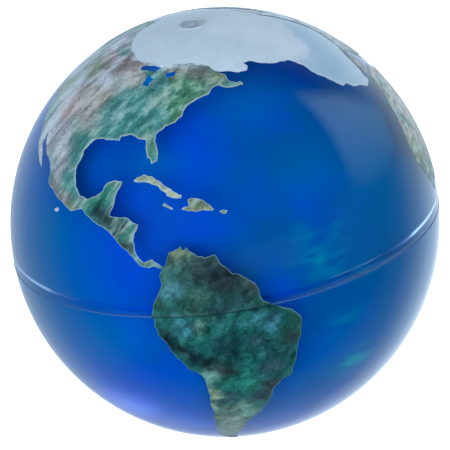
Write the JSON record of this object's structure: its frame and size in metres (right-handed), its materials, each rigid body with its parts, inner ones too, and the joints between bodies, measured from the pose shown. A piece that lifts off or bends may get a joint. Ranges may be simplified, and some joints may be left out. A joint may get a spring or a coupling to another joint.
{
  "type": "stress ball",
  "caption": "Clear soft squeeze ball filled with blue gel and printed as an Earth globe, with a bonded equator seam and a plugged fill port.",
  "frame": {"origin": "centre of the ball", "axes": "+Z out through the north pole, just beside the fill plug; the seam lies in the plane z = 0; -Y towards the printed Americas"},
  "size_m": [0.0652, 0.0652, 0.0653],
  "materials": {
    "clear_skin": "clear, soft, high gloss",
    "seam_adhesive": "clear gloss bead",
    "blue_gel": "transparent saturated blue",
    "plug": "pale, semi-gloss",
    "sealant": "clear gloss",
    "land_ink": "glossy print in greens, tans and greys with a pale coast edge",
    "forest_ink": "glossy print in dark greens and browns with a pale coast edge",
    "ice_ink": "glossy pale blue-grey print"
  },
  "bodies": {
    "lower_half": {"south_shell": "clear_skin", "seam_bond": "seam_adhesive", "gel_fill": "blue_gel", "south_america_south_print": "forest_ink", "africa_south_print": "forest_ink", "madagascar_print": "forest_ink", "sumatra_south_print": "forest_ink", "borneo_south_print": "forest_ink", "sulawesi_south_print": "forest_ink", "java_print": "forest_ink", "new_guinea_print": "forest_ink", "australia_print": "land_ink", "new_zealand_north_print": "forest_ink", "new_zealand_south_print": "forest_ink", "antarctica_print": "ice_ink"},
    "upper_half": {"north_shell": "clear_skin", "fill_plug": "plug", "plug_sealant": "sealant", "north_america_print": "land_ink", "arctic_ice_print": "ice_ink", "greenland_print": "ice_ink", "cuba_print": "land_ink", "jamaica_print": "land_ink", "hispaniola_print": "land_ink", "puerto_rico_print": "land_ink", "pacific_islet_print": "ice_ink", "south_america_north_print": "forest_ink", "eurasia_print": "land_ink", "africa_north_print": "land_ink", "sri_lanka_print": "forest_ink", "japan_print": "forest_ink", "philippines_print": "forest_ink", "sumatra_north_print": "forest_ink", "borneo_north_print": "forest_ink", "sulawesi_north_print": "forest_ink"}
  },
  "joints": [
    {"name": "squeeze", "type": "slide", "parent": "lower_half", "child": "upper_half", "axis": [0, 0, -1], "range_m": [0, 0.018], "stiffness_N_per_m": 3500, "deforming": ["north_shell", "south_shell", "seam_bond", "gel_fill", "fill_plug", "plug_sealant", "north_america_print", "arctic_ice_print", "greenland_print", "cuba_print", "jamaica_print", "hispaniola_print", "puerto_rico_print", "pacific_islet_print", "south_america_north_print", "south_america_south_print", "eurasia_print", "africa_north_print", "africa_south_print", "madagascar_print", "sri_lanka_print", "japan_print", "philippines_print", "sumatra_north_print", "borneo_north_print", "sulawesi_north_print", "sumatra_south_print", "borneo_south_print", "sulawesi_south_print", "java_print", "new_guinea_print", "australia_print", "new_zealand_north_print", "new_zealand_south_print", "antarctica_print"]}
  ]
}
